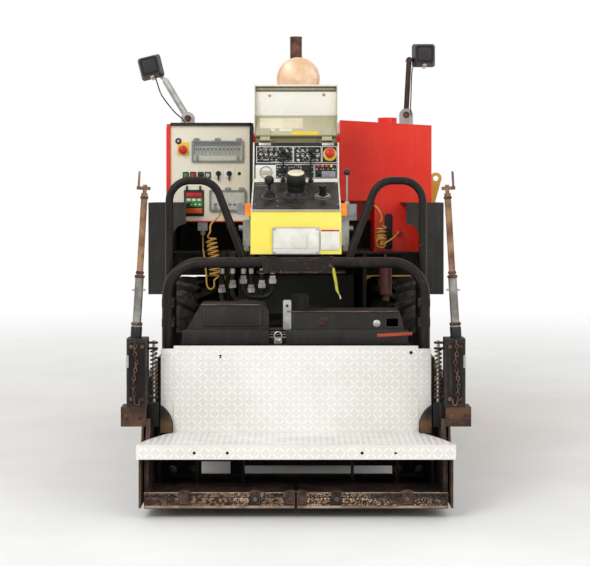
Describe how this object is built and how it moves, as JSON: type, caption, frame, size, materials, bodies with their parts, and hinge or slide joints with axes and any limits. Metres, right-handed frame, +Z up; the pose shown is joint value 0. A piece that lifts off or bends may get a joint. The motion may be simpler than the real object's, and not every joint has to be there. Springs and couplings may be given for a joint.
{
  "type": "wheeled asphalt paver",
  "caption": "Small wheeled asphalt paver with folding hopper wings, slat conveyor, augers, a towed extending screed, footboard, guard rails and an operator console.",
  "frame": {"origin": "on the ground, at the middle of the overall length and width", "axes": "+Y forwards, the way it drives; +X to its right; +Z up"},
  "size_m": [1.5914, 4, 2.05],
  "materials": {
    "black_paint": "satin",
    "red_paint": "gloss",
    "yellow_paint": "gloss",
    "cream_paint": "satin",
    "grey_paint": "satin",
    "engine_alloy": "matt",
    "chequer_alloy": "brushed",
    "heated_steel": "heat tinted",
    "bare_steel": "worn",
    "rusty_steel": "rusty",
    "tyre_rubber": "matt",
    "amber_plastic": "clear",
    "cord_sleeve": "matt",
    "oxide_paint": "satin",
    "black_plastic": "matt"
  },
  "bodies": {
    "tractor": {"chassis": "black_paint", "engine_block": "engine_alloy", "hood": "red_paint", "electrical_cabinet": "red_paint", "cabinet_panel": "cream_paint", "hydraulic_tank": "red_paint", "muffler": "heated_steel", "hopper_base": "yellow_paint", "conveyor": "bare_steel", "side_panels": "grey_paint", "lamp_arms": "bare_steel", "work_lamps": "black_plastic", "front_axle": "black_paint", "push_beam": "black_paint", "lift_ears": "black_paint", "hoses": "black_plastic", "accumulator": "oxide_paint", "coil_cord_left": "cord_sleeve", "coil_cord_right": "cord_sleeve"},
    "drive_wheel_left": {"drive_tyre_left": "tyre_rubber", "drive_rim_left": "yellow_paint"},
    "knuckle_left": {"knuckle_left": "black_paint"},
    "front_wheel_left": {"steer_tyre_left": "tyre_rubber", "steer_hub_left": "yellow_paint"},
    "push_roller_left": {"push_roller_left": "bare_steel"},
    "auger_left": {"auger_left": "rusty_steel"},
    "wing_left": {"wing_left": "yellow_paint"},
    "wing_barrel_left": {"wing_barrel_left": "black_paint"},
    "wing_rod_left": {"wing_rod_left": "bare_steel"},
    "extension_left": {"extension_left": "rusty_steel", "end_gate_left": "rusty_steel"},
    "lift_barrel_left": {"lift_barrel_left": "black_paint"},
    "lift_rod_left": {"lift_rod_left": "bare_steel"},
    "drive_wheel_right": {"drive_tyre_right": "tyre_rubber", "drive_rim_right": "yellow_paint"},
    "knuckle_right": {"knuckle_right": "black_paint"},
    "front_wheel_right": {"steer_tyre_right": "tyre_rubber", "steer_hub_right": "yellow_paint"},
    "push_roller_right": {"push_roller_right": "bare_steel"},
    "auger_right": {"auger_right": "rusty_steel"},
    "wing_right": {"wing_right": "yellow_paint"},
    "wing_barrel_right": {"wing_barrel_right": "black_paint"},
    "wing_rod_right": {"wing_rod_right": "bare_steel"},
    "extension_right": {"extension_right": "rusty_steel", "end_gate_right": "rusty_steel"},
    "lift_barrel_right": {"lift_barrel_right": "black_paint"},
    "lift_rod_right": {"lift_rod_right": "bare_steel"},
    "screed": {"tow_arms": "black_paint", "screed_frame": "black_paint", "screed_plate": "rusty_steel", "screed_housing": "black_paint", "footboard": "chequer_alloy", "guard_rails": "black_paint", "console": "yellow_paint", "instrument_panel": "black_plastic", "controls": "black_plastic", "valve_blocks": "bare_steel", "side_lamps": "amber_plastic"},
    "console_cover": {"console_cover": "cream_paint"}
  },
  "joints": [
    {"name": "drive_spin_left", "type": "hinge", "parent": "tractor", "child": "drive_wheel_left", "pos_m": [-0.465, -0.5, 0.43], "axis": [1, 0, 0], "continuous": true},
    {"name": "steer_left", "type": "hinge", "parent": "tractor", "child": "knuckle_left", "pos_m": [-0.382, 1.08, 0.2], "axis": [0, 0, 1], "range_deg": [-20, 20]},
    {"name": "front_spin_left", "type": "hinge", "parent": "knuckle_left", "child": "front_wheel_left", "pos_m": [-0.477, 1.08, 0.2], "axis": [1, 0, 0], "continuous": true},
    {"name": "roller_spin_left", "type": "hinge", "parent": "tractor", "child": "push_roller_left", "pos_m": [-0.225, 1.925, 0.42], "axis": [1, 0, 0], "continuous": true},
    {"name": "auger_spin_left", "type": "hinge", "parent": "tractor", "child": "auger_left", "pos_m": [-0.28, -1.19, 0.215], "axis": [1, 0, 0], "continuous": true},
    {"name": "wing_lift_left", "type": "hinge", "parent": "tractor", "child": "wing_left", "pos_m": [-0.3075, 1.077, 0.464], "axis": [0, 1, 0], "range_deg": [-50, 10]},
    {"name": "wing_barrel_turn_left", "type": "hinge", "parent": "tractor", "child": "wing_barrel_left", "pos_m": [-0.4, 0.7, 0.25], "axis": [0, 1, 0], "range_deg": [-27.65, 5.53]},
    {"name": "wing_rod_slide_left", "type": "slide", "parent": "wing_barrel_left", "child": "wing_rod_left", "axis": [-0.1643, 0, 0.9864], "range_m": [-0.14141, 0.02828]},
    {"name": "extend_left", "type": "slide", "parent": "screed", "child": "extension_left", "axis": [-1, 0, 0], "range_m": [0, 0.4]},
    {"name": "drive_spin_right", "type": "hinge", "parent": "tractor", "child": "drive_wheel_right", "pos_m": [0.465, -0.5, 0.43], "axis": [1, 0, 0], "continuous": true},
    {"name": "steer_right", "type": "hinge", "parent": "tractor", "child": "knuckle_right", "pos_m": [0.382, 1.08, 0.2], "axis": [0, 0, 1], "range_deg": [-20, 20]},
    {"name": "front_spin_right", "type": "hinge", "parent": "knuckle_right", "child": "front_wheel_right", "pos_m": [0.477, 1.08, 0.2], "axis": [1, 0, 0], "continuous": true},
    {"name": "roller_spin_right", "type": "hinge", "parent": "tractor", "child": "push_roller_right", "pos_m": [0.225, 1.925, 0.42], "axis": [1, 0, 0], "continuous": true},
    {"name": "auger_spin_right", "type": "hinge", "parent": "tractor", "child": "auger_right", "pos_m": [0.28, -1.19, 0.215], "axis": [1, 0, 0], "continuous": true},
    {"name": "wing_lift_right", "type": "hinge", "parent": "tractor", "child": "wing_right", "pos_m": [0.3075, 1.077, 0.464], "axis": [0, -1, 0], "range_deg": [-17, 43]},
    {"name": "wing_barrel_turn_right", "type": "hinge", "parent": "tractor", "child": "wing_barrel_right", "pos_m": [0.4, 0.7, 0.25], "axis": [0, -1, 0], "range_deg": [-9.39, 23.75]},
    {"name": "wing_rod_slide_right", "type": "slide", "parent": "wing_barrel_right", "child": "wing_rod_right", "axis": [0.4585, 0, 0.8887], "range_m": [-0.04808, 0.12162]},
    {"name": "extend_right", "type": "slide", "parent": "screed", "child": "extension_right", "axis": [1, 0, 0], "range_m": [0, 0.4]},
    {"name": "screed_lift", "type": "hinge", "parent": "tractor", "child": "screed", "pos_m": [0, 0.15, 0.43], "axis": [-1, 0, 0], "range_deg": [-1, 8]},
    {"name": "lift_barrel_turn_left", "type": "hinge", "parent": "tractor", "child": "lift_barrel_left", "pos_m": [-0.56, -1.106, 0.95], "axis": [-1, 0, 0], "range_deg": [-1.35, 0.17]},
    {"name": "lift_rod_slide_left", "type": "slide", "parent": "lift_barrel_left", "child": "lift_rod_left", "axis": [0, -0.0196, -0.9998], "range_m": [-0.18513, 0.02314]},
    {"name": "lift_barrel_turn_right", "type": "hinge", "parent": "tractor", "child": "lift_barrel_right", "pos_m": [0.56, -1.106, 0.95], "axis": [-1, 0, 0], "range_deg": [-1.35, 0.17]},
    {"name": "lift_rod_slide_right", "type": "slide", "parent": "lift_barrel_right", "child": "lift_rod_right", "axis": [0, -0.0196, -0.9998], "range_m": [-0.18513, 0.02314]},
    {"name": "cover_fold", "type": "hinge", "parent": "screed", "child": "console_cover", "pos_m": [0, -1.256, 1.496], "axis": [1, 0, 0], "range_deg": [0, 108]}
  ],
  "couplings": [
    {"joint": "wing_barrel_turn_left", "follows": "wing_lift_left", "ratio": 0.54224},
    {"joint": "wing_rod_slide_left", "follows": "wing_lift_left", "m_per_rad": 0.15887},
    {"joint": "wing_barrel_turn_right", "follows": "wing_lift_right", "ratio": 0.54154},
    {"joint": "wing_rod_slide_right", "follows": "wing_lift_right", "m_per_rad": 0.15888},
    {"joint": "lift_barrel_turn_left", "follows": "screed_lift", "ratio": -0.1602},
    {"joint": "lift_rod_slide_left", "follows": "screed_lift", "m_per_rad": -1.2628},
    {"joint": "lift_barrel_turn_right", "follows": "screed_lift", "ratio": -0.1602},
    {"joint": "lift_rod_slide_right", "follows": "screed_lift", "m_per_rad": -1.2628},
    {"joint": "steer_left", "follows": "steer_right", "ratio": 1}
  ]
}
